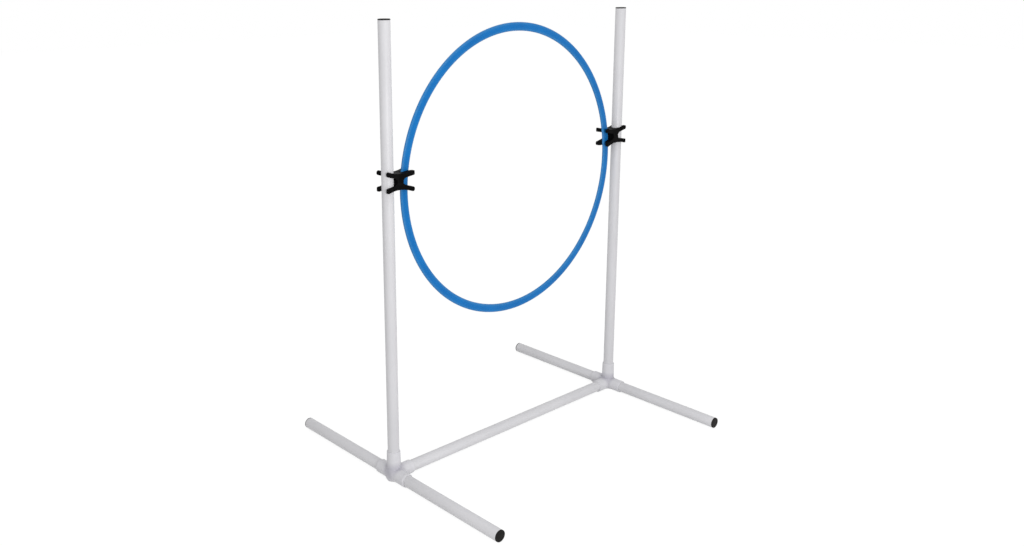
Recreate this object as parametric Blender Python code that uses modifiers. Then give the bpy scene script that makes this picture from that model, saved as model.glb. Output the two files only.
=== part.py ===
# Hoop jump for dog agility: a flat hoop held between two uprights by snap clips.
# Metres, +Z up. +X runs from the left upright to the right one, +Y from the front feet to the back ones.
# The origin is on the floor, midway between the uprights.

import math

import bmesh
import bpy
from mathutils import Vector

# Tubes
TUBE_OD = 0.030
TUBE_WALL = 0.002
UPRIGHT_LENGTH = 1.130
FOOT_LENGTH = 0.367

# Base fittings
SOCKET_WALL = 0.0026
UP_SOCKET_DEPTH = 0.042
SIDE_SOCKET_DEPTH = 0.033
SOCKET_LIP = 0.0015
SOCKET_STEP = 0.0005
HUB_CORNER = 0.0067
HUB_CROWN = 0.0018
HUB_CROWN_ROUND = 0.006
HUB_FLAT = 0.0009
STOP_SHOULDER = 0.0035
CORE_STEP = 0.0004

# End caps
CAP_FLANGE = 0.0025
CAP_EDGE = 0.0008
CAP_RIM = 0.003
CAP_DISH = 0.0006
CAP_PLUG_LENGTH = 0.016
CAP_PLUG_WALL = 0.002
CAP_PLUG_LEAD = 0.001

# Hoop
HOOP_OD = 0.783
HOOP_WIDTH = 0.0225
HOOP_THICKNESS = 0.007
HOOP_EDGE_RADIUS = 0.0032
HOOP_CENTRE_HEIGHT = 0.756

# Hoop clips
CLIP_ABOVE_HOOP_CENTRE = 0.031
RIGHT_CLIP_LIFT = 0.018
CLIP_DROOP = math.radians(3)
CLIP_WEB = 0.0225
CLIP_ARM = 0.0072
CLIP_TIP_REACH = 0.0178
CLIP_TIP_RADIUS = 0.0059
CLIP_TIP_SPREAD = 0.0200
CLIP_WAIST = 0.0198
CLIP_SIDE_WAIST = 0.003
CLIP_NOTCH_RADIUS = 0.0095
CLIP_NOTCH_WEB = 0.018
CLIP_WRAP = math.radians(25)
CLIP_FUNNEL_START = 0.004

# Clearances
PUSH_FIT = 0.0003
CLIP_FIT = 0.0003
CUT_OVERRUN = 0.002

# Facets
TURN_STEPS = 24
HOOP_STEPS = 72
LIP_STEPS = 2
CROWN_STEPS = 4
HOOP_EDGE_STEPS = 2
CLIP_SOCKET_STEPS = 10
CLIP_NOTCH_STEPS = 4
CLIP_TIP_STEPS = 4
CLIP_WAIST_STEPS = 6
MERGE = 0.00001

# Sizes that follow from the driving dimensions
tube_radius = TUBE_OD / 2
tube_bore = tube_radius - TUBE_WALL
socket_bore = tube_radius + PUSH_FIT
socket_radius = socket_bore + SOCKET_WALL
up_socket_radius = socket_radius + SOCKET_STEP
cross_socket_radius = socket_radius - SOCKET_STEP
axis_height = socket_radius - HUB_FLAT
crown_reach = socket_radius + HUB_CROWN
socket_seat = socket_bore + HUB_CORNER
tube_start = socket_seat + PUSH_FIT
up_reach = socket_seat + UP_SOCKET_DEPTH
side_reach = socket_seat + SIDE_SOCKET_DEPTH
core_radius = tube_radius - STOP_SHOULDER

hoop_outer = HOOP_OD / 2
hoop_middle = hoop_outer - HOOP_WIDTH / 2

clip_height = HOOP_CENTRE_HEIGHT + CLIP_ABOVE_HOOP_CENTRE
clip_socket = tube_radius + CLIP_FIT
clip_half_depth = clip_socket + CLIP_ARM
clip_slot = HOOP_THICKNESS / 2 + CLIP_FIT
hoop_half_chord = math.sqrt(hoop_middle ** 2 - CLIP_ABOVE_HOOP_CENTRE ** 2)
clip_slot_bottom = clip_socket + CLIP_WEB
clip_pitch = clip_slot_bottom + CLIP_FIT + hoop_outer - hoop_half_chord
upright_x = hoop_half_chord + clip_pitch

# Colours are scene-linear
WHITE = (0.72, 0.72, 0.74)
FITTING_WHITE = (0.66, 0.66, 0.70)
BLACK = (0.012, 0.012, 0.013)
BLUE = (0.014, 0.171, 0.546)
TUBE_ROUGHNESS = 0.38
FITTING_ROUGHNESS = 0.42
CAP_ROUGHNESS = 0.45
CLIP_ROUGHNESS = 0.5
HOOP_ROUGHNESS = 0.4


def clear_scene():
    for old in list(bpy.data.objects):
        bpy.data.objects.remove(old, do_unlink=True)


def new_collection(name):
    collection = bpy.data.collections.new(name)
    bpy.context.scene.collection.children.link(collection)
    return collection


def plastic(name, colour, roughness):
    material = bpy.data.materials.new(name)
    material.use_nodes = True
    shader = material.node_tree.nodes["Principled BSDF"]
    shader.inputs["Base Color"].default_value = (*colour, 1.0)
    shader.inputs["Roughness"].default_value = roughness
    shader.inputs["Metallic"].default_value = 0.0
    return material


def arc(centre, radius, start, stop, steps):
    turns = [start + (stop - start) * step / steps for step in range(steps + 1)]
    return [(centre[0] + radius * math.cos(turn), centre[1] + radius * math.sin(turn)) for turn in turns]


def turned(name, profile, collection, steps, closed=False):
    # A profile of (radius, height) points, listed down its outer side, turned about the object's Z axis.
    count = len(profile)
    edges = [(index, index + 1) for index in range(count - 1)]
    if closed:
        edges.append((count - 1, 0))
    mesh = bpy.data.meshes.new(name)
    mesh.from_pydata([(radius, 0.0, height) for radius, height in profile], edges, [])
    solid = bpy.data.objects.new(name, mesh)
    collection.objects.link(solid)
    turn = solid.modifiers.new("turn", "SCREW")
    turn.angle = math.tau
    turn.steps = steps
    turn.render_steps = steps
    turn.use_merge_vertices = True
    turn.merge_threshold = MERGE
    turn.use_smooth_shade = True
    return solid


def aim(solid, place, direction):
    # Puts the object's origin at place, with its Z axis along direction.
    solid.location = place
    solid.rotation_euler = Vector(direction).to_track_quat("Z", "Y").to_euler()


def as_cutter(solid):
    solid.hide_render = True
    solid.display_type = "WIRE"


def boolean(solid, other, operation):
    step = solid.modifiers.new(other.name, "BOOLEAN")
    step.operation = operation
    step.solver = "EXACT"
    step.object = other


def tube(name, length, start, direction, material):
    bore = tube_bore
    profile = [(tube_radius, length), (tube_radius, 0.0), (bore, 0.0), (bore, length)]
    solid = turned(name, profile, parts, TURN_STEPS, closed=True)
    solid.data.materials.append(material)
    aim(solid, start, direction)
    return solid


def end_cap(name, tube_end, direction, material):
    # Heights are measured from the underside of the flange, which sits just off the tube's end.
    plug = tube_bore - PUSH_FIT
    plug_bore = plug - CAP_PLUG_WALL
    dish = tube_radius - CAP_RIM
    profile = [
        (0.0, CAP_FLANGE - CAP_DISH),
        (dish - CAP_DISH, CAP_FLANGE - CAP_DISH),
        (dish, CAP_FLANGE),
        (tube_radius - CAP_EDGE, CAP_FLANGE),
        (tube_radius, CAP_FLANGE - CAP_EDGE),
        (tube_radius, 0.0),
        (plug, 0.0),
        (plug, CAP_PLUG_LEAD - CAP_PLUG_LENGTH),
        (plug - CAP_PLUG_LEAD, -CAP_PLUG_LENGTH),
        (plug_bore, -CAP_PLUG_LENGTH),
        (plug_bore, 0.0),
        (0.0, 0.0),
    ]
    solid = turned(name, profile, parts, TURN_STEPS)
    solid.data.materials.append(material)
    aim(solid, Vector(tube_end) + PUSH_FIT * Vector(direction), direction)
    return solid


def rounded_bar(radius, low, high, low_round, low_steps):
    # Solid round bar with a socket's lip on its high end. A low_round of zero leaves the low edge sharp.
    quarter = math.pi / 2
    lip = arc((radius - SOCKET_LIP, high - SOCKET_LIP), SOCKET_LIP, quarter, 0.0, LIP_STEPS)
    low_edge = [(radius, low)]
    if low_round:
        low_edge = arc((radius - low_round, low + low_round), low_round, 0.0, -quarter, low_steps)
    return [(0.0, high)] + lip + low_edge + [(0.0, low)]


def socket_bore_profile(core, reach):
    # The tube's bore outside the seat, and the narrower core between the seat and the middle of the hub.
    return [
        (0.0, reach + CUT_OVERRUN),
        (socket_bore, reach + CUT_OVERRUN),
        (socket_bore, socket_seat),
        (core, socket_seat),
        (core, 0.0),
        (0.0, 0.0),
    ]


def through_bore_profile(core, reach):
    upper = socket_bore_profile(core, reach)[:4]
    return upper + [(radius, -height) for radius, height in reversed(upper)]


def fitting_tool(name, profile, hub, direction):
    tool = turned(name, profile, cutters, TURN_STEPS)
    aim(tool, hub, direction)
    as_cutter(tool)
    return tool


def base_fitting(name, hub, inward, material):
    # A run along Y with a socket at each end, an up socket, and a cross socket with a closed crown behind it.
    run = rounded_bar(socket_radius, -side_reach, side_reach, SOCKET_LIP, LIP_STEPS)
    body = turned(name, run, parts, TURN_STEPS)
    body.data.materials.append(material)
    aim(body, hub, (0, 1, 0))

    up_bar = rounded_bar(up_socket_radius, 0.0, up_reach, 0.0, LIP_STEPS)
    cross_bar = rounded_bar(cross_socket_radius, -crown_reach, side_reach, HUB_CROWN_ROUND, CROWN_STEPS)
    boolean(body, fitting_tool(name + "_cross_bar", cross_bar, hub, inward), "UNION")
    boolean(body, fitting_tool(name + "_up_bar", up_bar, hub, (0, 0, 1)), "UNION")

    run_bore = through_bore_profile(core_radius, side_reach)
    up_bore = socket_bore_profile(core_radius + CORE_STEP, up_reach)
    cross_bore = socket_bore_profile(core_radius - CORE_STEP, side_reach)
    boolean(body, fitting_tool(name + "_run_bore", run_bore, hub, (0, 1, 0)), "DIFFERENCE")
    boolean(body, fitting_tool(name + "_up_bore", up_bore, hub, (0, 0, 1)), "DIFFERENCE")
    boolean(body, fitting_tool(name + "_cross_bore", cross_bore, hub, inward), "DIFFERENCE")

    # The underside is flat, so that the fitting stands on a face and not on a line.
    bpy.ops.mesh.primitive_cube_add(size=2 * (side_reach + CUT_OVERRUN))
    floor = bpy.context.object
    floor.name = name + "_floor"
    floor.location = (hub[0], hub[1], -(side_reach + CUT_OVERRUN))
    for owner in list(floor.users_collection):
        owner.objects.unlink(floor)
    cutters.objects.link(floor)
    as_cutter(floor)
    boolean(body, floor, "DIFFERENCE")
    return body


def hoop(name, material):
    half_width = HOOP_WIDTH / 2 - HOOP_EDGE_RADIUS
    half_thickness = HOOP_THICKNESS / 2 - HOOP_EDGE_RADIUS
    quarter = math.pi / 2
    corners = [(1, 1, quarter), (1, -1, 0.0), (-1, -1, -quarter), (-1, 1, -2 * quarter)]
    profile = []
    for side, face, start in corners:
        centre = (hoop_middle + side * half_width, face * half_thickness)
        profile += arc(centre, HOOP_EDGE_RADIUS, start, start - quarter, HOOP_EDGE_STEPS)
    solid = turned(name, profile, parts, HOOP_STEPS, closed=True)
    solid.data.materials.append(material)
    aim(solid, (0, 0, HOOP_CENTRE_HEIGHT), (0, 1, 0))
    return solid


def waisted_edge(half_length, tip_height, tip_radius, waist):
    # Upper edge of a clip outline about its middle: a round tip at each end and a hollow arc between.
    reach = half_length - tip_radius
    drop = waist - tip_height
    radius = (reach ** 2 + drop ** 2 - tip_radius ** 2) / (2 * (tip_radius - drop))
    lean = math.atan2(reach, radius + drop)
    quarter = math.pi / 2
    hollow = arc((0.0, waist + radius), radius, -quarter - lean, -quarter + lean, CLIP_WAIST_STEPS)
    return hollow, quarter + lean


def clip_front_outline():
    # Seen along Y, about the clip's middle: X across, the height up. The fingers spread like a cross.
    half_length = clip_pitch / 2 + CLIP_TIP_REACH
    hollow, tip_start = waisted_edge(half_length, CLIP_TIP_SPREAD, CLIP_TIP_RADIUS, CLIP_WAIST)
    tip = (half_length - CLIP_TIP_RADIUS, CLIP_TIP_SPREAD)
    notch = (CLIP_NOTCH_WEB / 2 + CLIP_NOTCH_RADIUS, 0.0)
    gap = math.dist(tip, notch)
    slope = math.atan2(tip[1] - notch[1], tip[0] - notch[0])
    touch = slope + math.acos((CLIP_TIP_RADIUS + CLIP_NOTCH_RADIUS) / gap)
    tip_arc = arc(tip, CLIP_TIP_RADIUS, tip_start, touch - math.pi, CLIP_TIP_STEPS)
    notch_arc = arc(notch, CLIP_NOTCH_RADIUS, touch, math.pi, CLIP_NOTCH_STEPS)
    right = tip_arc + notch_arc[:-1]
    left = [(-across, up) for across, up in reversed(right)]
    upper = left + hollow[1:-1] + right
    bottom = (CLIP_NOTCH_WEB / 2, 0.0)
    lower = [(across, -up) for across, up in reversed(upper)]
    return [(-bottom[0], 0.0)] + upper + [bottom] + lower


def clip_top_outline():
    # Seen along Z from the upright's axis: a round socket for the tube, a parallel slot for the hoop.
    middle = clip_pitch / 2
    half_length = middle + CLIP_TIP_REACH
    tip_radius = CLIP_ARM / 2
    tip_depth = clip_half_depth - tip_radius
    waist = clip_half_depth - CLIP_SIDE_WAIST
    hollow, tip_start = waisted_edge(half_length, tip_depth, tip_radius, waist)
    quarter = math.pi / 2
    wrap = quarter + CLIP_WRAP
    outside = clip_socket / math.cos(wrap / CLIP_SOCKET_STEPS / 2)
    socket = arc((0.0, 0.0), outside, 0.0, wrap, CLIP_SOCKET_STEPS)
    tube_tip_centre = (middle - half_length + tip_radius, tip_depth)
    hoop_tip_centre = (middle + half_length - tip_radius, tip_depth)
    tube_tip = arc(tube_tip_centre, tip_radius, 3 * quarter, math.pi - tip_start, CLIP_TIP_STEPS)
    hoop_tip = arc(hoop_tip_centre, tip_radius, tip_start, -quarter, CLIP_TIP_STEPS)
    edge = [(middle + along, depth) for along, depth in hollow[1:-1]]
    slot = [(clip_pitch + CLIP_FUNNEL_START, clip_slot), (clip_slot_bottom, clip_slot)]
    upper = socket[1:] + tube_tip + edge + hoop_tip + slot
    lower = [(along, -depth) for along, depth in reversed(upper)]
    return [socket[0]] + upper + lower


def prism(name, outline, half_depth, collection):
    # Flat outline, filled and extruded both ways along the object's Z axis, as a closed mesh.
    curve = bpy.data.curves.new(name, "CURVE")
    curve.dimensions = "2D"
    curve.fill_mode = "BOTH"
    curve.extrude = half_depth
    spline = curve.splines.new("POLY")
    spline.points.add(len(outline) - 1)
    for point, (along, across) in zip(spline.points, outline):
        point.co = (along, across, 0.0, 1.0)
    spline.use_cyclic_u = True
    flat = bpy.data.objects.new(name + "_outline", curve)
    collection.objects.link(flat)
    depsgraph = bpy.context.evaluated_depsgraph_get()
    mesh = bpy.data.meshes.new_from_object(flat.evaluated_get(depsgraph))
    bpy.data.objects.remove(flat)
    shape = bmesh.new()
    shape.from_mesh(mesh)
    bmesh.ops.remove_doubles(shape, verts=shape.verts, dist=MERGE)
    bmesh.ops.recalc_face_normals(shape, faces=shape.faces)
    shape.to_mesh(mesh)
    shape.free()
    solid = bpy.data.objects.new(name, mesh)
    collection.objects.link(solid)
    return solid


def hoop_clip(name, place, turn, material):
    # The origin is on the upright's axis, and the hoop side points along the object's own X axis.
    # The fingers droop towards the hoop under its weight, while the socket stays in line with the tube.
    half_length = clip_pitch / 2 + CLIP_TIP_REACH
    half_height = CLIP_TIP_SPREAD + CLIP_TIP_RADIUS + half_length * math.sin(CLIP_DROOP)
    clip = prism(name, clip_top_outline(), half_height + CUT_OVERRUN, parts)
    clip.data.materials.append(material)
    clip.location = place
    clip.rotation_euler = (0.0, 0.0, turn)
    front = prism(name + "_front", clip_front_outline(), clip_half_depth + CUT_OVERRUN, cutters)
    front.parent = clip
    front.location = (clip_pitch / 2, 0.0, 0.0)
    front.rotation_euler = (math.pi / 2, CLIP_DROOP, 0.0)
    as_cutter(front)
    boolean(clip, front, "INTERSECT")
    return clip


clear_scene()
parts = new_collection("hoop_jump")
cutters = new_collection("hoop_jump_cutters")

tube_white = plastic("tube_white", WHITE, TUBE_ROUGHNESS)
fitting_white = plastic("fitting_white", FITTING_WHITE, FITTING_ROUGHNESS)
cap_black = plastic("cap_black", BLACK, CAP_ROUGHNESS)
clip_black = plastic("clip_black", BLACK, CLIP_ROUGHNESS)
hoop_blue = plastic("hoop_blue", BLUE, HOOP_ROUGHNESS)

up = Vector((0, 0, 1))
for side, label, clip_lift in ((-1, "left", 0.0), (1, "right", RIGHT_CLIP_LIFT)):
    hub = Vector((side * upright_x, 0.0, axis_height))
    inward = Vector((-side, 0, 0))
    base_fitting("base_fitting_" + label, hub, inward, fitting_white)
    tube("upright_" + label, UPRIGHT_LENGTH, hub + tube_start * up, up, tube_white)
    end_cap("upright_cap_" + label, hub + (tube_start + UPRIGHT_LENGTH) * up, up, cap_black)
    for way, end in ((-1, "front"), (1, "back")):
        along = Vector((0, way, 0))
        tube("foot_tube_%s_%s" % (end, label), FOOT_LENGTH, hub + tube_start * along, along, tube_white)
        foot_end = hub + (tube_start + FOOT_LENGTH) * along
        end_cap("foot_cap_%s_%s" % (end, label), foot_end, along, cap_black)
    clip_place = (side * upright_x, 0.0, clip_height + clip_lift)
    hoop_clip("hoop_clip_" + label, clip_place, 0.0 if side < 0 else math.pi, clip_black)

cross_start = Vector((tube_start - upright_x, 0.0, axis_height))
tube("cross_tube", 2 * (upright_x - tube_start), cross_start, Vector((1, 0, 0)), tube_white)
hoop("hoop", hoop_blue)
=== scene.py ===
import math

import bmesh
import bpy
from mathutils import Matrix, Vector


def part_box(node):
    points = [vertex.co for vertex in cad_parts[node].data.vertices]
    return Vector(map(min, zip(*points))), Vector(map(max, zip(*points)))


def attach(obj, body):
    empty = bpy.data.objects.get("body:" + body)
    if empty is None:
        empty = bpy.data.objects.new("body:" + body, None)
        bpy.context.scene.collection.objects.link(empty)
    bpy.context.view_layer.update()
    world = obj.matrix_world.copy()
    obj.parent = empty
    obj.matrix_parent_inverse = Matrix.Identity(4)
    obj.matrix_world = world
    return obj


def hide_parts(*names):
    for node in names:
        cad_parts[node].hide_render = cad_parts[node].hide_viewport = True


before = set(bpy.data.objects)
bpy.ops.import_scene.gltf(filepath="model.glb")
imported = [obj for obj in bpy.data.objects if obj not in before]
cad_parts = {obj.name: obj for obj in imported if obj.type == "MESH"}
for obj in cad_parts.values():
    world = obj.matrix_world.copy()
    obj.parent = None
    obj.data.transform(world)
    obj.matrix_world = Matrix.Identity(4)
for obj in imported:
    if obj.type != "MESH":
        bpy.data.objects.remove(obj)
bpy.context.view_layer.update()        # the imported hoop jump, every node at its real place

print("frame loaded with", len(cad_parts), "nodes")

sides = ("left", "right")
ends = {"front": -1, "back": 1}        # each end of the feet, and its way along Y
acrossAxis, alongAxis, upAxis = range(3)        # X left to right, Y front to back, Z up
roundCut = 1e-5        # two places closer than this are the same
facing = 0.9        # a face looks along an axis if its normal has this much of it


def middleOf(node):
    low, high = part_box(node)
    return (low + high) / 2


def letGo():        # object mode with nothing picked
    if bpy.context.object and bpy.context.object.mode != "OBJECT":
        bpy.ops.object.mode_set(mode="OBJECT")
    bpy.ops.object.select_all(action="DESELECT")


def takeHold(piece):
    letGo()
    piece.select_set(True)
    bpy.context.view_layer.objects.active = piece


def nameIt(name):        # the primitive that was just added
    piece = bpy.context.object
    piece.name = name
    piece.data.name = name
    return piece


def pick(piece, kind, test):        # edit mode, with only what passes the test selected
    if piece.mode != "EDIT":
        bpy.ops.object.mode_set(mode="EDIT")
    bpy.ops.mesh.select_mode(type=kind)
    bpy.ops.mesh.select_all(action="DESELECT")
    shape = bmesh.from_edit_mesh(piece.data)
    items = {"VERT": shape.verts, "EDGE": shape.edges, "FACE": shape.faces}[kind]
    for item in items:
        if test(item):
            item.select_set(True)
    shape.select_flush_mode()
    bmesh.update_edit_mesh(piece.data)


def looksUp(face):
    return face.normal.z > facing


def looksDown(face):
    return face.normal.z < -facing


def pullOut(move):
    bpy.ops.mesh.extrude_region_move(TRANSFORM_OT_translate={"value": tuple(move)})


def settle(piece, place=None):        # the place goes into the mesh
    takeHold(piece)
    if place is not None:
        piece.matrix_world = place @ piece.matrix_world
    bpy.ops.object.transform_apply(location=True, rotation=True, scale=True)


def smoothTo(piece, degrees):
    takeHold(piece)
    bpy.ops.object.shade_smooth_by_angle(angle=math.radians(degrees))


def applyAll(piece):
    takeHold(piece)
    for step in list(piece.modifiers):
        bpy.ops.object.modifier_apply(modifier=step.name)


def cutWith(piece, tool, operation):
    step = piece.modifiers.new(tool.name, "BOOLEAN")
    step.operation = operation
    step.solver = "EXACT"
    step.object = tool
    applyAll(piece)
    bpy.data.objects.remove(tool)


def copyTo(piece, name, place):        # a copy with its own mesh
    takeHold(piece)
    bpy.ops.object.duplicate(linked=False)
    copy = nameIt(name)
    settle(copy, place)
    return copy


def outsideOut(piece):        # doubles merged, faces pointing outwards
    takeHold(piece)
    bpy.ops.object.mode_set(mode="EDIT")
    bpy.ops.mesh.select_all(action="SELECT")
    bpy.ops.mesh.remove_doubles(threshold=roundCut)
    bpy.ops.mesh.normals_make_consistent(inside=False)
    bpy.ops.object.mode_set(mode="OBJECT")


def aimed(place, direction):        # a piece's own Z axis turned to a direction, then moved to its place
    turn = Vector(direction).to_track_quat("Z", "Y").to_matrix().to_4x4()
    return Matrix.Translation(place) @ turn


def dress(piece, body, node, finish):
    piece.data.materials.clear()
    piece.data.materials.append(finish)
    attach(piece, body)
    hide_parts(node)


# finishes

def newFinish(name, look):
    finish = bpy.data.materials.new(name)
    finish.use_nodes = True
    shader = finish.node_tree.nodes["Principled BSDF"]
    shader.inputs["Metallic"].default_value = 0.0
    shader.inputs["Specular IOR Level"].default_value = look["shine"]
    return finish, finish.node_tree, shader


def objectPlace(tree):
    return tree.nodes.new("ShaderNodeTexCoord").outputs["Object"]


def cloud(tree, place, scale, stretch=(1.0, 1.0, 1.0), detail=3.0, warp=0.0):
    mapping = tree.nodes.new("ShaderNodeMapping")
    mapping.inputs["Scale"].default_value = stretch
    noise = tree.nodes.new("ShaderNodeTexNoise")
    noise.inputs["Scale"].default_value = scale
    noise.inputs["Detail"].default_value = detail
    noise.inputs["Distortion"].default_value = warp
    tree.links.new(place, mapping.inputs["Vector"])
    tree.links.new(mapping.outputs["Vector"], noise.inputs["Vector"])
    return noise.outputs["Fac"]


def spread(tree, value, span, target=(0.0, 1.0)):        # a value's span mapped to another
    ranged = tree.nodes.new("ShaderNodeMapRange")
    names = ("From Min", "From Max", "To Min", "To Max")
    for name, number in zip(names, (*span, *target)):
        ranged.inputs[name].default_value = number
    tree.links.new(value, ranged.inputs["Value"])
    return ranged.outputs["Result"]


def sums(tree, first, second, operation="ADD"):
    node = tree.nodes.new("ShaderNodeMath")
    node.operation = operation
    for socket, value in zip(node.inputs, (first, second)):
        if isinstance(value, (int, float)):
            socket.default_value = value
        else:
            tree.links.new(value, socket)
    return node.outputs[0]


def times(tree, first, second):
    return sums(tree, first, second, "MULTIPLY")


def sizeOf(tree, value):        # without its sign
    return sums(tree, value, 0.0, "ABSOLUTE")


def tint(tree, amount, low, high):        # low colour to high colour by the amount, 0 to 1
    mix = tree.nodes.new("ShaderNodeMix")
    mix.data_type = "RGBA"
    colours = [socket for socket in mix.inputs if socket.type == "RGBA"]
    for socket, value in zip(colours, (low, high)):
        if isinstance(value, tuple):
            socket.default_value = (*value, 1.0)
        else:
            tree.links.new(value, socket)
    tree.links.new(amount, mix.inputs["Factor"])
    return [socket for socket in mix.outputs if socket.type == "RGBA"][0]


def relief(tree, shader, height, strength, distance):
    bump = tree.nodes.new("ShaderNodeBump")
    bump.inputs["Strength"].default_value = strength
    bump.inputs["Distance"].default_value = distance
    tree.links.new(height, bump.inputs["Height"])
    tree.links.new(bump.outputs["Normal"], shader.inputs["Normal"])


tubeLook = {
    "pale": (0.735, 0.729, 0.752),
    "dull": (0.685, 0.680, 0.703),
    "scuff": (0.56, 0.555, 0.575),
    "shine": 0.35,
    "drawnOut": 0.012,        # scale of the extrusion lines along the tube, against round it
    "streaks": 620.0,
    "streakSpan": (0.3, 0.7),
    "bands": 90.0,
    "bandShare": 0.5,        # against the blotches, in the colour
    "bandRelief": 0.6,        # against the streaks, in the relief
    "blotches": 9.0,
    "shadeSpan": (0.5, 1.0),
    "rubs": 140.0,
    "rubDrawnOut": 0.35,
    "rubInBlotch": 0.35,        # rubbed patches gather in the pale blotches
    "rubSpan": (0.86, 1.02),
    "rubRange": (0.0, 0.35),
    "roughness": (0.34, 0.44),
    "rubRoughness": 0.25,
    "relief": (0.12, 0.0003),        # strength, and depth in metres
}


def tubeFinish(name, axis):
    look = tubeLook
    finish, tree, shader = newFinish(name, look)
    place = objectPlace(tree)
    drawn = [1.0, 1.0, 1.0]
    drawn[axis] = look["drawnOut"]
    rubDrawn = [1.0, 1.0, 1.0]
    rubDrawn[axis] = look["rubDrawnOut"]
    streak = cloud(tree, place, look["streaks"], drawn, detail=2.0)
    bands = cloud(tree, place, look["bands"], drawn, detail=2.0)
    blotch = cloud(tree, place, look["blotches"], detail=4.0)
    rub = cloud(tree, place, look["rubs"], rubDrawn, detail=5.0, warp=0.4)
    gathered = sums(tree, rub, times(tree, blotch, look["rubInBlotch"]))
    rubbed = spread(tree, gathered, look["rubSpan"], look["rubRange"])
    banded = sums(tree, blotch, times(tree, bands, look["bandShare"]))
    shade = spread(tree, banded, look["shadeSpan"])
    colour = tint(tree, shade, look["dull"], look["pale"])
    colour = tint(tree, rubbed, colour, look["scuff"])
    tree.links.new(colour, shader.inputs["Base Color"])
    matt = spread(tree, streak, look["streakSpan"], look["roughness"])
    matt = sums(tree, matt, times(tree, rubbed, look["rubRoughness"]))
    tree.links.new(matt, shader.inputs["Roughness"])
    relief(tree, shader, sums(tree, streak, times(tree, bands, look["bandRelief"])), *look["relief"])
    return finish


fittingLook = {
    "pale": (0.738, 0.732, 0.762),
    "dull": (0.684, 0.679, 0.708),
    "hub": (0.50, 0.49, 0.545),        # painted shade: the hub's middle, where the sockets meet, is painted darker than the sockets
    "paintedShadeRise": 0.010,        # the darkest painted shade lies this far above the middle of the hub
    "paintedShadeSpan": (0.019, 0.033),        # painted shade at its darkest up to the first distance, gone at the second
    "shine": 0.3,
    "flow": 26.0,        # faint flow of the moulding
    "flowRelief": 1.5,        # against the grain
    "grain": 1500.0,
    "dust": 220.0,
    "dustShare": 0.4,        # against the flow
    "shadeSpan": (0.5, 0.9),
    "mattSpan": (0.7, 1.3),
    "roughness": (0.36, 0.5),
    "relief": (0.1, 0.0003),
}


def fittingFinish(hub):
    look = fittingLook
    finish, tree, shader = newFinish("mouldedWhite", look)
    place = objectPlace(tree)
    flow = cloud(tree, place, look["flow"], detail=3.0, warp=1.2)
    grain = cloud(tree, place, look["grain"], detail=2.0)
    dust = cloud(tree, place, look["dust"], detail=5.0)
    shade = spread(tree, sums(tree, flow, times(tree, dust, look["dustShare"])), look["shadeSpan"])
    split = tree.nodes.new("ShaderNodeSeparateXYZ")
    tree.links.new(place, split.inputs["Vector"])
    across, along, up = split.outputs
    outward = sums(tree, sizeOf(tree, across), abs(hub.x), "SUBTRACT")        # the same on the left and right
    above = sums(tree, up, hub.z + look["paintedShadeRise"], "SUBTRACT")
    fromHub = tree.nodes.new("ShaderNodeCombineXYZ")
    for socket, value in zip(fromHub.inputs, (outward, along, above)):
        tree.links.new(value, socket)
    reach = tree.nodes.new("ShaderNodeVectorMath")
    reach.operation = "LENGTH"
    tree.links.new(fromHub.outputs["Vector"], reach.inputs[0])
    # painted shade round the hub where the sockets meet, darkest near its middle
    paintedHubShade = spread(tree, reach.outputs["Value"], look["paintedShadeSpan"], (1.0, 0.0))
    colour = tint(tree, shade, look["dull"], look["pale"])
    tree.links.new(tint(tree, paintedHubShade, colour, look["hub"]), shader.inputs["Base Color"])
    matt = spread(tree, sums(tree, grain, flow), look["mattSpan"], look["roughness"])
    tree.links.new(matt, shader.inputs["Roughness"])
    relief(tree, shader, sums(tree, grain, times(tree, flow, look["flowRelief"])), *look["relief"])
    return finish


capLook = {
    "deep": (0.006, 0.005, 0.0048),
    "worn": (0.014, 0.012, 0.0115),
    "shine": 0.12,
    "grain": 1800.0,
    "scuffs": 160.0,
    "wornSpan": (0.45, 0.75),
    "mattSpan": (0.6, 1.4),
    "roughness": (0.4, 0.62),
    "relief": (0.25, 0.0002),
}


def capFinish():
    look = capLook
    finish, tree, shader = newFinish("capBlack", look)
    place = objectPlace(tree)
    grain = cloud(tree, place, look["grain"], detail=3.0)
    scuff = cloud(tree, place, look["scuffs"], detail=5.0, warp=0.6)
    worn = spread(tree, scuff, look["wornSpan"])
    tree.links.new(tint(tree, worn, look["deep"], look["worn"]), shader.inputs["Base Color"])
    matt = spread(tree, sums(tree, grain, scuff), look["mattSpan"], look["roughness"])
    tree.links.new(matt, shader.inputs["Roughness"])
    relief(tree, shader, grain, *look["relief"])
    return finish


clipLook = {
    "deep": (0.0045, 0.0043, 0.0045),
    "worn": (0.010, 0.0095, 0.010),
    "shine": 0.015,
    "grain": 1400.0,
    "flow": 70.0,
    "wornSpan": (0.45, 0.8),
    "mattSpan": (0.6, 1.4),
    "roughness": (0.36, 0.58),
    "relief": (0.2, 0.0002),
}


def clipFinish():
    look = clipLook
    finish, tree, shader = newFinish("clipBlack", look)
    place = objectPlace(tree)
    grain = cloud(tree, place, look["grain"], detail=3.0)
    flow = cloud(tree, place, look["flow"], detail=4.0, warp=0.8)
    worn = spread(tree, flow, look["wornSpan"])
    tree.links.new(tint(tree, worn, look["deep"], look["worn"]), shader.inputs["Base Color"])
    matt = spread(tree, sums(tree, grain, flow), look["mattSpan"], look["roughness"])
    tree.links.new(matt, shader.inputs["Roughness"])
    relief(tree, shader, sums(tree, grain, flow), *look["relief"])
    return finish


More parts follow.
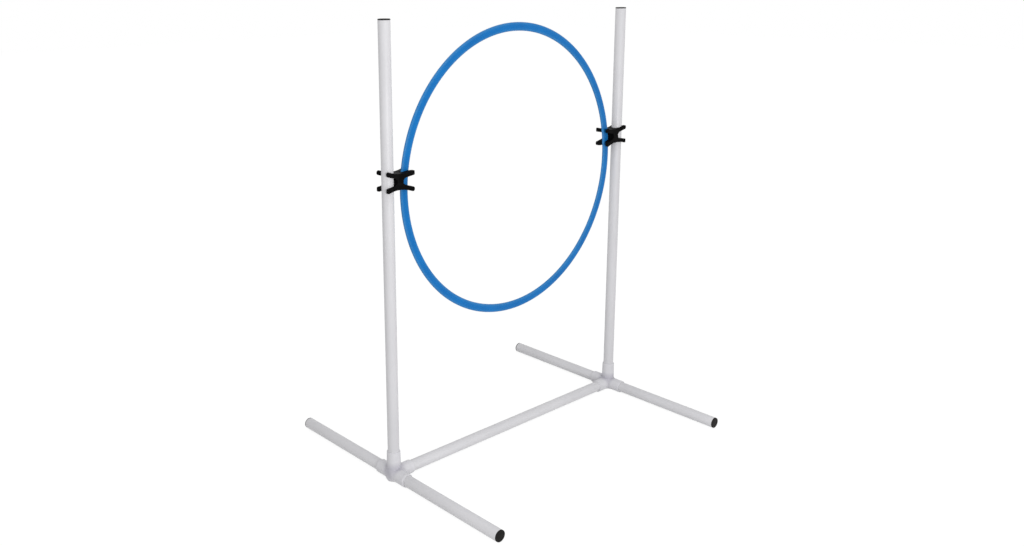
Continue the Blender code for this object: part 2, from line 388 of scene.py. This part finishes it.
hoopLook = {
    "deep": (0.004, 0.150, 0.476),
    "clear": (0.0075, 0.193, 0.566),
    # rubbed rims, made lighter still as a painted highlight along the rounded edges
    "rubbed": (0.082, 0.284, 0.535),
    "shine": 0.14,
    "streaks": 900.0,        # to a metre across the strip
    "drawnOut": 7.0,        # and to a radian round the hoop, so they run along the strip
    "streakShare": 0.5,        # against the blotches
    "streakSpan": (0.3, 0.7),
    "blotches": 16.0,
    "shadeSpan": (0.5, 1.0),
    "scuffs": 210.0,
    "scuffSpan": (0.35, 0.65),
    "scuffRange": (0.4, 1.0),
    "scuffRelief": 0.3,        # against the streaks
    "rimSpan": (0.35, 0.95),        # from the middle of the strip, 0, to its rims, 1
    "rimWearAndHighlight": (0.0, 0.7),
    "roughness": (0.22, 0.32),
    "rubRoughness": 0.08,
    "relief": (0.12, 0.0003),
}


def hoopFinish(centre, inner, outer):
    look = hoopLook
    finish, tree, shader = newFinish("hoopBlue", look)
    shift = tree.nodes.new("ShaderNodeMapping")        # measured from the hoop's centre
    shift.inputs["Location"].default_value = tuple(-centre)
    tree.links.new(objectPlace(tree), shift.inputs["Vector"])
    fromCentre = shift.outputs["Vector"]
    split = tree.nodes.new("ShaderNodeSeparateXYZ")
    tree.links.new(fromCentre, split.inputs["Vector"])
    across, deep, up = split.outputs
    square = sums(tree, times(tree, across, across), times(tree, up, up))
    reach = sums(tree, square, 0.5, "POWER")
    turn = sums(tree, up, across, "ARCTAN2")
    wound = tree.nodes.new("ShaderNodeCombineXYZ")
    tree.links.new(times(tree, reach, look["streaks"]), wound.inputs["X"])
    tree.links.new(times(tree, deep, look["streaks"]), wound.inputs["Y"])
    tree.links.new(times(tree, turn, look["drawnOut"]), wound.inputs["Z"])
    streak = cloud(tree, wound.outputs["Vector"], 1.0, detail=3.0)
    blotch = cloud(tree, fromCentre, look["blotches"], detail=4.0)
    scuff = cloud(tree, fromCentre, look["scuffs"], detail=5.0, warp=0.5)
    shade = spread(tree, sums(tree, blotch, times(tree, streak, look["streakShare"])), look["shadeSpan"])
    colour = tint(tree, shade, look["deep"], look["clear"])
    middle = (inner + outer) / 2
    half = (outer - inner) / 2
    toRim = times(tree, sums(tree, reach, middle, "SUBTRACT"), 1.0 / half)
    # the rims lighter all round: scuffed wear, and a painted highlight on the rounded edges
    rim = spread(tree, sizeOf(tree, toRim), look["rimSpan"], look["rimWearAndHighlight"])
    rubbed = times(tree, rim, spread(tree, scuff, look["scuffSpan"], look["scuffRange"]))
    tree.links.new(tint(tree, rubbed, colour, look["rubbed"]), shader.inputs["Base Color"])
    matt = spread(tree, streak, look["streakSpan"], look["roughness"])
    matt = sums(tree, matt, times(tree, rubbed, look["rubRoughness"]))
    tree.links.new(matt, shader.inputs["Roughness"])
    relief(tree, shader, sums(tree, streak, times(tree, scuff, look["scuffRelief"])), *look["relief"])
    return finish


# tubes

tubeSize = {
    "wall": 0.002,
    "around": 96,
    "rim": 0.0004,        # broken edge at the saw cut
    "rimSteps": 2,
    "smoothAngle": 30.0,        # degrees
}


def makeTube(name, node, axis):
    low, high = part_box(node)
    size = high - low
    half = size[axis] / 2
    direction = [0.0, 0.0, 0.0]
    direction[axis] = 1.0
    letGo()
    bpy.ops.mesh.primitive_cylinder_add(vertices=tubeSize["around"], radius=min(size) / 2, depth=2 * half)
    tube = nameIt(name)
    pick(tube, "FACE", lambda face: looksUp(face) or looksDown(face))
    bpy.ops.mesh.inset(thickness=tubeSize["wall"])
    bpy.ops.mesh.bridge_edge_loops()        # the bore, from one end to the other

    def onRim(edge):
        first, second = edge.verts
        atEnd = all(abs(abs(vert.co.z) - half) < roundCut for vert in edge.verts)
        return atEnd and abs(first.co.xy.length - second.co.xy.length) < roundCut

    pick(tube, "EDGE", onRim)
    bpy.ops.mesh.bevel(offset=tubeSize["rim"], segments=tubeSize["rimSteps"], affect="EDGES")
    outsideOut(tube)
    settle(tube, aimed(middleOf(node), direction))
    smoothTo(tube, tubeSize["smoothAngle"])
    return tube


def makeTubes(names, axis, finish):        # the first node's tube is modelled, the others are its copies
    first, *others = names
    tubes = {first: makeTube(names[first], first, axis)}
    for node in others:
        move = Matrix.Translation(middleOf(node) - middleOf(first))
        tubes[node] = copyTo(tubes[first], names[node], move)
    for node, tube in tubes.items():
        dress(tube, "frame", node, finish)
    print("tubes made:", ", ".join(tubes))


tubeAcross = tubeFinish("tubeWhiteAcross", acrossAxis)
tubeAlong = tubeFinish("tubeWhiteAlong", alongAxis)
tubeUp = tubeFinish("tubeWhiteUp", upAxis)
uprightNames = {"upright_" + side: "uprightTube" + side.title() for side in sides}
footNames = {}        # node and piece
for end in ends:
    for side in sides:
        footNames["foot_tube_%s_%s" % (end, side)] = "footTube" + end.title() + side.title()
makeTubes(uprightNames, upAxis, tubeUp)
makeTubes({"cross_tube": "crossTube"}, acrossAxis, tubeAcross)
makeTubes(footNames, alongAxis, tubeAlong)

# end caps

capSize = {
    "around": 72,
    "flange": 0.0025,
    "edge": 0.0009,
    "edgeSteps": 4,
    "rim": 0.0026,        # flat ring round the face
    "slope": 0.0007,
    "dish": 0.0006,
    "crown": 0.00025,        # the middle of the face rises a little again
    "crownRings": ((0.2, 0.6), (0.3, 0.4)),        # each ring's share of the radius and of the rise
    "fit": 0.0003,        # between the plug and the tube's bore
    "plug": 0.016,
    "plugWall": 0.002,
    "plugFloor": 0.0005,        # the plug's hollow stops this far below the flange
    "lead": 0.001,
    "leadSteps": 2,
    "ringSlack": 1e-4,        # in finding a ring by its radius
    "smoothAngle": 32.0,
}


def makeCap(name, radius):        # its flange stands on z = 0 with the plug below
    flange = capSize["flange"]
    plug = capSize["plug"]
    plugInset = tubeSize["wall"] + capSize["fit"]
    letGo()
    bpy.ops.mesh.primitive_cylinder_add(vertices=capSize["around"], radius=radius, depth=flange)
    cap = nameIt(name)
    settle(cap, Matrix.Translation((0.0, 0.0, flange / 2)))
    pick(cap, "FACE", looksUp)
    bpy.ops.mesh.inset(thickness=capSize["rim"])
    bpy.ops.mesh.inset(thickness=capSize["slope"], depth=-capSize["dish"])
    for width, rise in capSize["crownRings"]:
        bpy.ops.mesh.inset(thickness=radius * width, depth=capSize["crown"] * rise)
    pick(cap, "FACE", looksDown)
    bpy.ops.mesh.inset(thickness=plugInset)
    pullOut((0.0, 0.0, -plug))
    bpy.ops.mesh.inset(thickness=capSize["plugWall"])
    pullOut((0.0, 0.0, plug - capSize["plugFloor"]))

    def ringAt(height, size):
        def test(edge):
            level = all(abs(vert.co.z - height) < roundCut for vert in edge.verts)
            return level and all(abs(vert.co.xy.length - size) < capSize["ringSlack"] for vert in edge.verts)
        return test

    pick(cap, "EDGE", ringAt(flange, radius))
    bpy.ops.mesh.bevel(offset=capSize["edge"], segments=capSize["edgeSteps"], affect="EDGES")
    pick(cap, "EDGE", ringAt(-plug, radius - plugInset))
    bpy.ops.mesh.bevel(offset=capSize["lead"], segments=capSize["leadSteps"], affect="EDGES")
    outsideOut(cap)
    smoothTo(cap, capSize["smoothAngle"])
    return cap


def seatCap(name, node, outward):        # a copy of the pattern, with its face at the node's outer end
    low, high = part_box(node)
    way = Vector(outward)
    reach = abs((high - low).dot(way)) / 2 - capSize["flange"]
    cap = copyTo(capPattern, name, aimed(middleOf(node) + way * reach, way))
    dress(cap, "frame", node, capBlack)


capBlack = capFinish()
capLow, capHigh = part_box("upright_cap_left")
capPattern = makeCap("capPattern", (capHigh.x - capLow.x) / 2)
for side in sides:
    seatCap("uprightCap" + side.title(), "upright_cap_" + side, (0, 0, 1))
    for end, way in ends.items():
        seatCap("footCap" + end.title() + side.title(), "foot_cap_%s_%s" % (end, side), (0, way, 0))
bpy.data.objects.remove(capPattern)
print("end caps made:", len(sides) * (1 + len(ends)))

# base fittings

fittingSize = {
    "radius": 0.0179,
    "cageShare": 0.9024,        # eight corners round a socket smooth down to this share of their reach
    "upReach": 0.064,
    "sideReach": 0.055,
    "crease": 0.0030,        # how soon a socket runs straight after the hub
    "lip": 0.0026,
    "crown": 0.0197,
    "crownWidth": 0.74,
    "valley": 0.55,        # how sharp the valley is where two sockets meet
    "upRoot": 1.03,        # the upper socket narrows to its mouth
    "upMouth": 0.985,
    "smooth": 3,
    "bore": 0.01505,
    "core": 0.0115,
    "seat": 0.022,
    "step": 0.0004,        # the crossing cores differ by this, so that no two walls coincide
    "over": 0.002,        # how far a drill runs past the mouth
    "around": 64,
    "cutSlack": 1e-6,        # of the flat cut underneath
    "smoothAngle": 38.0,
}


def makeDrill(reach, core):        # the tube's bore down to its seat, then the core to the hub's middle
    bore = fittingSize["bore"]
    seat = fittingSize["seat"]
    length = reach + fittingSize["over"] - seat
    letGo()
    bpy.ops.mesh.primitive_cylinder_add(vertices=fittingSize["around"], radius=bore, depth=length)
    drill = nameIt("drill")
    settle(drill, Matrix.Translation((0, 0, seat + length / 2)))
    pick(drill, "FACE", looksDown)
    bpy.ops.mesh.inset(thickness=bore - core)
    pullOut((0, 0, -seat))
    bpy.ops.object.mode_set(mode="OBJECT")
    return drill


def makeFitting(name, hub, inward):
    cage = fittingSize["radius"] / fittingSize["cageShare"]
    crease = fittingSize["crease"]
    lip = fittingSize["lip"]
    centre = (0, 0, 0)
    inward = Vector(inward)
    upward, frontward, backward = Vector((0, 0, 1)), Vector((0, -1, 0)), Vector((0, 1, 0))
    meeting = [(upward, frontward), (upward, backward), (upward, inward)]
    meeting += [(inward, frontward), (inward, backward)]

    def isCorner(vert):
        return min(abs(number) for number in vert.co) > cage / 2

    def faceAround(axis):
        return lambda face: any((vert.co - axis * cage).length < roundCut for vert in face.verts)

    def flatten(axis, height):
        squeeze = tuple(0.0 if number else 1.0 for number in axis)
        bpy.ops.transform.resize(value=squeeze, center_override=tuple(axis * height))

    def widen(axis, share):
        stretch = tuple(1.0 if number else share for number in axis)
        bpy.ops.transform.resize(value=stretch, center_override=centre)

    def growSocket(axis, reach, root=1.0, mouth=1.0):
        pick(fitting, "FACE", faceAround(axis))
        pullOut(axis * crease)
        flatten(axis, cage + crease)
        widen(axis, root)
        pullOut(axis * (reach - lip - cage - crease))
        widen(axis, mouth / root)
        pullOut(axis * lip)
        bpy.ops.mesh.inset(thickness=lip)

    def valleyEdge(edge):
        corners = [vert for vert in edge.verts if isCorner(vert)]
        if not corners:
            return False
        middle = edge.other_vert(corners[0])
        return any((middle.co - (first + second) * cage).length < roundCut for first, second in meeting)

    letGo()
    bpy.ops.mesh.primitive_cube_add(size=2 * cage)
    fitting = nameIt(name)
    pick(fitting, "FACE", lambda face: True)
    bpy.ops.mesh.subdivide(number_cuts=1)
    pick(fitting, "VERT", isCorner)        # drawn in, so that each side's eight points lie on a circle
    bpy.ops.transform.resize(value=(math.sqrt(0.5),) * 3, center_override=centre)
    growSocket(upward, fittingSize["upReach"], fittingSize["upRoot"], fittingSize["upMouth"])
    for axis in (frontward, backward, inward):
        growSocket(axis, fittingSize["sideReach"])
    pick(fitting, "EDGE", valleyEdge)
    bpy.ops.transform.edge_crease(value=fittingSize["valley"])
    pick(fitting, "FACE", faceAround(-inward))        # the closed crown on the outer side
    pullOut(-inward * crease)
    flatten(-inward, fittingSize["crown"])
    widen(-inward, fittingSize["crownWidth"])
    bpy.ops.object.mode_set(mode="OBJECT")
    swell = fitting.modifiers.new("swell", "SUBSURF")
    swell.levels = fittingSize["smooth"]
    swell.render_levels = fittingSize["smooth"]
    applyAll(fitting)
    bpy.ops.object.mode_set(mode="EDIT")
    bpy.ops.mesh.select_all(action="SELECT")
    bpy.ops.mesh.bisect(        # flat where it stands on the floor
        plane_co=(0, 0, -hub.z),
        plane_no=(0, 0, 1),
        use_fill=True,
        clear_inner=True,
        threshold=fittingSize["cutSlack"],
    )
    bpy.ops.object.mode_set(mode="OBJECT")
    drills = (
        (upward, fittingSize["upReach"], fittingSize["step"]),
        (frontward, fittingSize["sideReach"], 0.0),
        (backward, fittingSize["sideReach"], 0.0),
        (inward, fittingSize["sideReach"], -fittingSize["step"]),
    )
    for axis, reach, step in drills:
        drill = makeDrill(reach, fittingSize["core"] + step)
        settle(drill, aimed(centre, axis))
        cutWith(fitting, drill, "DIFFERENCE")
    settle(fitting, Matrix.Translation(hub))
    smoothTo(fitting, fittingSize["smoothAngle"])
    return fitting


hubLeft = middleOf("upright_left")
hubLeft.z = middleOf("cross_tube").z
halfTurn = Matrix.Rotation(math.pi, 4, "Z")        # about the object's middle: left becomes right
mouldedWhite = fittingFinish(hubLeft)
fittingLeft = makeFitting("baseFittingLeft", hubLeft, (1, 0, 0))
fittingRight = copyTo(fittingLeft, "baseFittingRight", halfTurn)
dress(fittingLeft, "frame", "base_fitting_left", mouldedWhite)
dress(fittingRight, "frame", "base_fitting_right", mouldedWhite)
print("base fittings made, faces each:", len(fittingLeft.data.polygons))

# hoop

hoopSize = {
    "width": 0.0225,
    "edge": 0.0034,        # nearly half the thickness, so the edges are round
    "edgeSteps": 9,
    "around": 288,
    "smoothAngle": 50.0,
}


def makeHoop(name):
    low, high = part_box("hoop")
    centre = (low + high) / 2
    outer = (high.z - low.z) / 2
    thick = high.y - low.y
    middle = outer - hoopSize["width"] / 2
    letGo()
    bpy.ops.mesh.primitive_plane_add(size=1.0, location=centre + Vector((middle, 0, 0)))
    hoop = nameIt(name)
    hoop.scale = (hoopSize["width"], thick, 1.0)
    settle(hoop)
    pick(hoop, "VERT", lambda vert: True)
    bpy.ops.mesh.bevel(offset=hoopSize["edge"], segments=hoopSize["edgeSteps"], affect="VERTICES")
    pick(hoop, "FACE", lambda face: True)
    bpy.ops.mesh.delete(type="ONLY_FACE")        # only the outline of the section is spun
    bpy.ops.mesh.select_mode(type="EDGE")
    bpy.ops.mesh.select_all(action="SELECT")
    bpy.ops.mesh.spin(steps=hoopSize["around"], angle=math.tau, center=tuple(centre), axis=(0, 1, 0))
    outsideOut(hoop)
    smoothTo(hoop, hoopSize["smoothAngle"])
    return hoop, centre, outer


hoop, hoopCentre, hoopOuter = makeHoop("hoopStrip")
hoopBlue = hoopFinish(hoopCentre, hoopOuter - hoopSize["width"], hoopOuter)
dress(hoop, "hoop", "hoop", hoopBlue)
print("hoop made, faces:", len(hoop.data.polygons))

# hoop clips

clipSize = {
    "socket": 0.0153,        # radius round the tube
    "wrap": 25.0,        # degrees that the socket reaches past half way round the tube
    "arm": 0.0072,
    "tipReach": 0.0178,        # from the tube's or the strip's middle to the finger's end
    "tipRound": 0.0059,
    "tipSpread": 0.0200,
    "waist": 0.0198,        # half the height at the hollow between the tips
    "sideWaist": 0.003,        # depth of that hollow seen from above
    "notch": 0.0095,
    "notchWeb": 0.018,
    "droop": 3.0,        # degrees: the fingers hang towards the hoop, the socket stays in line with the tube
    "slotHalf": 0.0038,
    "slotStart": 0.0378,        # from the tube's middle
    "funnelStart": 0.004,        # past the strip's middle
    "over": 0.004,        # how far each plate runs past the other before they are intersected
    "arcStep": 4.0,        # degrees
    "fewestSteps": 3,
    "hollowSteps": 24,
    "voxel": 0.0005,
    "soften": 12,
    "softenShare": 0.5,
}


def arcPoints(centre, radius, start, stop):
    steps = max(clipSize["fewestSteps"], round(abs(stop - start) / math.radians(clipSize["arcStep"])))
    turns = [start + (stop - start) * step / steps for step in range(steps + 1)]
    return [(centre[0] + radius * math.cos(turn), centre[1] + radius * math.sin(turn)) for turn in turns]


def hollowEdge(halfLength, tipHeight, tipRadius, waist):        # a hollow arc that runs into two round tips
    reach = halfLength - tipRadius
    drop = waist - tipHeight
    radius = (reach ** 2 + drop ** 2 - tipRadius ** 2) / (2 * (tipRadius - drop))
    lean = math.atan2(reach, radius + drop)
    steps = clipSize["hollowSteps"]
    turns = [lean * (2 * step / steps - 1) for step in range(steps + 1)]
    hollow = [(radius * math.sin(turn), waist + radius - radius * math.cos(turn)) for turn in turns]
    return hollow, math.pi / 2 + lean


def clipFace(pitch):        # seen from the front, about the clip's middle: the fingers spread like a cross
    half = pitch / 2 + clipSize["tipReach"]
    web = clipSize["notchWeb"] / 2
    tipRadius = clipSize["tipRound"]
    hollow, tipStart = hollowEdge(half, clipSize["tipSpread"], tipRadius, clipSize["waist"])
    tip = (half - tipRadius, clipSize["tipSpread"])
    notch = (web + clipSize["notch"], 0.0)
    slope = math.atan2(tip[1] - notch[1], tip[0] - notch[0])
    touch = slope + math.acos((tipRadius + clipSize["notch"]) / math.dist(tip, notch))
    tipArc = arcPoints(tip, tipRadius, tipStart, touch - math.pi)
    notchArc = arcPoints(notch, clipSize["notch"], touch, math.pi)
    right = tipArc + notchArc[:-1]
    left = [(-across, up) for across, up in reversed(right)]
    upper = left + hollow[1:-1] + right
    lower = [(across, -up) for across, up in reversed(upper)]
    return [(-web, 0.0)] + upper + [(web, 0.0)] + lower


def clipPlan(pitch):        # seen from above: a round socket for the tube, a slot for the hoop
    middle = pitch / 2
    half = middle + clipSize["tipReach"]
    quarter = math.pi / 2
    slotHalf = clipSize["slotHalf"]
    tipRadius = clipSize["arm"] / 2
    deep = clipSize["socket"] + clipSize["arm"]
    tipDepth = deep - tipRadius
    hollow, tipStart = hollowEdge(half, tipDepth, tipRadius, deep - clipSize["sideWaist"])
    socket = arcPoints((0.0, 0.0), clipSize["socket"], 0.0, quarter + math.radians(clipSize["wrap"]))
    tubeTip = arcPoints((middle - half + tipRadius, tipDepth), tipRadius, 3 * quarter, math.pi - tipStart)
    hoopTip = arcPoints((middle + half - tipRadius, tipDepth), tipRadius, tipStart, -quarter)
    edge = [(middle + along, depth) for along, depth in hollow[1:-1]]
    slot = [(pitch + clipSize["funnelStart"], slotHalf), (clipSize["slotStart"], slotHalf)]
    upper = socket[1:] + tubeTip + edge + hoopTip + slot
    lower = [(along, -depth) for along, depth in reversed(upper)]
    return [socket[0]] + upper + lower


def plate(name, outline, half):        # a filled outline, drawn out to both sides
    letGo()
    bpy.ops.mesh.primitive_circle_add(vertices=len(outline), radius=1.0, fill_type="NGON")
    flat = nameIt(name)
    for vert, (along, across) in zip(flat.data.vertices, outline):
        vert.co = (along, across, -half)
    pick(flat, "FACE", lambda face: True)
    pullOut((0, 0, 2 * half))
    outsideOut(flat)
    return flat


def makeClip(name, place, pitch):
    deep = clipSize["socket"] + clipSize["arm"]
    tall = clipSize["tipSpread"] + clipSize["tipRound"]
    clip = plate(name, clipPlan(pitch), tall + clipSize["over"])
    face = plate("clipFace", clipFace(pitch), deep + clipSize["over"])
    upright = Matrix.Rotation(math.pi / 2, 4, "X")
    droop = Matrix.Rotation(math.radians(clipSize["droop"]), 4, "Y")
    settle(face, Matrix.Translation((pitch / 2, 0, 0)) @ droop @ upright)
    cutWith(clip, face, "INTERSECT")
    skin = clip.modifiers.new("skin", "REMESH")
    skin.mode = "VOXEL"
    skin.voxel_size = clipSize["voxel"]
    soften = clip.modifiers.new("soften", "SMOOTH")
    soften.factor = clipSize["softenShare"]
    soften.iterations = clipSize["soften"]
    applyAll(clip)
    settle(clip, Matrix.Translation(place))
    bpy.ops.object.shade_smooth()
    return clip


clipBlack = clipFinish()
clipPlace = middleOf("upright_left")
clipPlace.z = middleOf("hoop_clip_left").z
stripMiddle = hoopOuter - hoopSize["width"] / 2
halfChord = math.sqrt(stripMiddle ** 2 - (clipPlace.z - hoopCentre.z) ** 2)
clipPitch = abs(clipPlace.x) - halfChord        # the tube's middle to the strip's, at the clip's height
clipLift = middleOf("hoop_clip_right").z - clipPlace.z        # the right clip is set higher
clipLeft = makeClip("hoopClipLeft", clipPlace, clipPitch)
clipRight = copyTo(clipLeft, "hoopClipRight", Matrix.Translation((0, 0, clipLift)) @ halfTurn)
dress(clipLeft, "left_clip", "hoop_clip_left", clipBlack)
dress(clipRight, "right_clip", "hoop_clip_right", clipBlack)
print("hoop clips made, faces each:", len(clipLeft.data.polygons))

# floor, light and camera

stageSize = {
    "floor": 30.0,
    "floorDrop": 0.0004,
    "floorPale": 0.75,        # what the floor throws back at the object
    "shadowShare": 0.2,        # how much of the floor's light and shade the camera sees
    "whiteShare": 0.885,        # its own white makes up the rest
    "surround": 0.61,
}


def grey(level):
    return (level, level, level, 1.0)


def seenDirectly(tree):        # 1 for what the camera, a reflection or a clear body sees
    path = tree.nodes.new("ShaderNodeLightPath")
    some = sums(tree, path.outputs["Is Camera Ray"], path.outputs["Is Glossy Ray"], "MAXIMUM")
    return sums(tree, some, path.outputs["Is Transmission Ray"], "MAXIMUM")


def makeFloor():
    letGo()
    bpy.ops.mesh.primitive_plane_add(size=stageSize["floor"], location=(0, 0, -stageSize["floorDrop"]))
    floor = nameIt("studioFloor")
    finish = bpy.data.materials.new("paleFloor")
    finish.use_nodes = True
    tree = finish.node_tree
    tree.nodes.clear()
    plain = tree.nodes.new("ShaderNodeBsdfDiffuse")
    plain.inputs["Color"].default_value = grey(stageSize["floorPale"])
    shadow = tree.nodes.new("ShaderNodeBsdfDiffuse")
    shadow.inputs["Color"].default_value = grey(stageSize["shadowShare"])
    white = tree.nodes.new("ShaderNodeEmission")
    white.inputs["Strength"].default_value = stageSize["whiteShare"]
    both = tree.nodes.new("ShaderNodeAddShader")
    choose = tree.nodes.new("ShaderNodeMixShader")
    out = tree.nodes.new("ShaderNodeOutputMaterial")
    tree.links.new(shadow.outputs[0], both.inputs[0])
    tree.links.new(white.outputs[0], both.inputs[1])
    tree.links.new(seenDirectly(tree), choose.inputs["Fac"])
    tree.links.new(plain.outputs[0], choose.inputs[1])
    tree.links.new(both.outputs[0], choose.inputs[2])
    tree.links.new(choose.outputs[0], out.inputs["Surface"])
    floor.data.materials.append(finish)


def makeWorld():
    world = bpy.data.worlds.new("studio")
    world.use_nodes = True
    tree = world.node_tree
    glow = tree.nodes["Background"]
    glow.inputs["Color"].default_value = grey(1.0)
    level = spread(tree, seenDirectly(tree), (0.0, 1.0), (stageSize["surround"], 1.0))
    tree.links.new(level, glow.inputs["Strength"])
    bpy.context.scene.world = world


lampSet = {
    "key": {"place": (-1.3, -2.92, 1.0), "target": (0.0, 0.0, 0.5), "size": 1.4, "power": 37.0},
    "top": {"place": (-0.7, -0.7, 3.3), "target": (0.0, 0.0, 0.3), "size": 0.5, "power": 8.0},
}


def makeLamps():
    for name, lamp in lampSet.items():
        place = Vector(lamp["place"])
        letGo()
        bpy.ops.object.light_add(type="AREA", location=place)
        light = bpy.context.object
        light.name = name + "Lamp"
        light.data.energy = lamp["power"]
        light.data.size = lamp["size"]
        light.visible_camera = False        # the lamp itself stays out of every view
        light.rotation_euler = (place - Vector(lamp["target"])).to_track_quat("Z", "Y").to_euler()


cameraSet = {        # found by fitting the tubes' edges and the hoop's rim
    "place": (-1.83745, -1.81140, 1.28078),
    "azimuth": -41.2774,        # degrees, as the next two
    "elevation": 14.0846,
    "roll": -0.4574,
    "sensor": 36.0,
    "lens": 34.3239,
    "shiftX": 0.06552,
    "shiftY": -0.05713,
}


def makeCamera():
    around, above, roll = (math.radians(cameraSet[name]) for name in ("azimuth", "elevation", "roll"))
    level = math.cos(above)
    back = Vector((math.sin(around) * level, -math.cos(around) * level, math.sin(above)))
    right = Vector((math.cos(around), math.sin(around), 0.0))
    up = back.cross(right)
    across = right * math.cos(roll) + up * math.sin(roll)
    upward = up * math.cos(roll) - right * math.sin(roll)
    letGo()
    bpy.ops.object.camera_add()
    camera = bpy.context.object
    turn = Matrix((across, upward, back)).transposed().to_4x4()
    camera.matrix_world = Matrix.Translation(cameraSet["place"]) @ turn
    camera.data.sensor_fit = "HORIZONTAL"
    camera.data.sensor_width = cameraSet["sensor"]
    camera.data.lens = cameraSet["lens"]
    camera.data.shift_x = cameraSet["shiftX"]
    camera.data.shift_y = cameraSet["shiftY"]
    bpy.context.scene.camera = camera


makeFloor()
makeWorld()
makeLamps()
makeCamera()
bpy.context.scene.view_settings.view_transform = "Standard"
print("floor, light and camera set")
